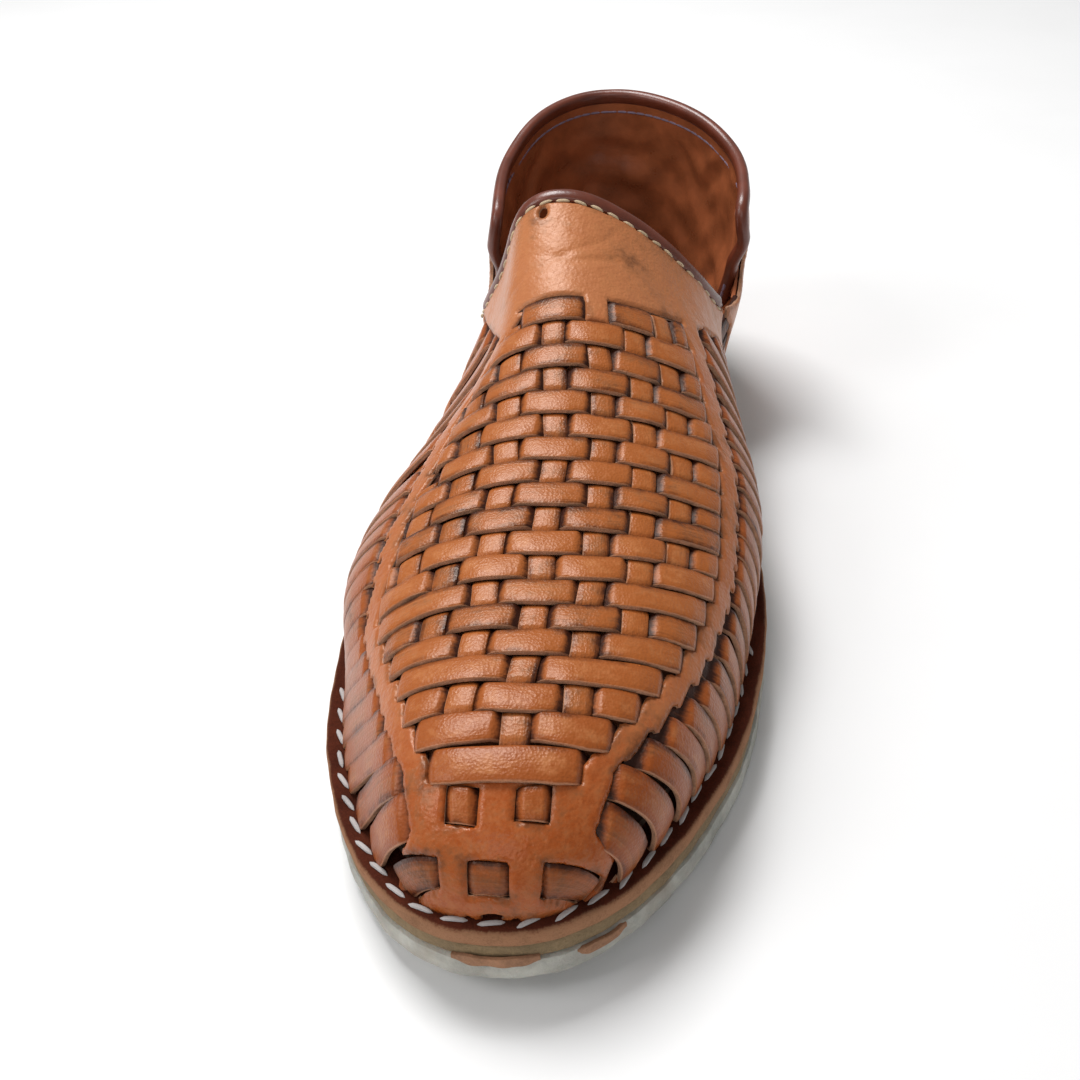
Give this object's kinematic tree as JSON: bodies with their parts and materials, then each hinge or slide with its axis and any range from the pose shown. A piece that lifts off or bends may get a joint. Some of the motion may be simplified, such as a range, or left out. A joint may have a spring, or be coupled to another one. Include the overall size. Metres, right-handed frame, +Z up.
{
  "type": "woven leather huarache shoe",
  "caption": "Closed-toe woven leather huarache for the left foot: hollow basket-weave upper with plain instep tab, strapped heel counter, bound edges and stitched flat sole.",
  "frame": {"origin": "middle of the shoe's box on the floor plane under its sole", "axes": "+Z up; -Y towards the toe, +Y towards the heel; +X towards the outer (lateral) side of the left foot"},
  "size_m": [0.1054, 0.29, 0.0915],
  "materials": {
    "crepe_rubber": "matte translucent grey-white crepe rubber",
    "olive_layer": "matte olive-tan rubber sheet with a rough cut edge",
    "welt_leather": "thick tan leather, fuzzy cut edge and brown suede top",
    "sock_leather": "matte grey-brown leather",
    "woven_leather": "burnished cognac leather with fine grain and satin gloss",
    "binding_leather": "glossy dark red-brown rolled leather"
  },
  "bodies": {
    "root": {"outsole": "crepe_rubber", "midsole": "olive_layer", "welt": "welt_leather", "insole": "sock_leather", "upper": "woven_leather", "throat_binding": "binding_leather", "heel_binding": "binding_leather"}
  },
  "joints": []
}
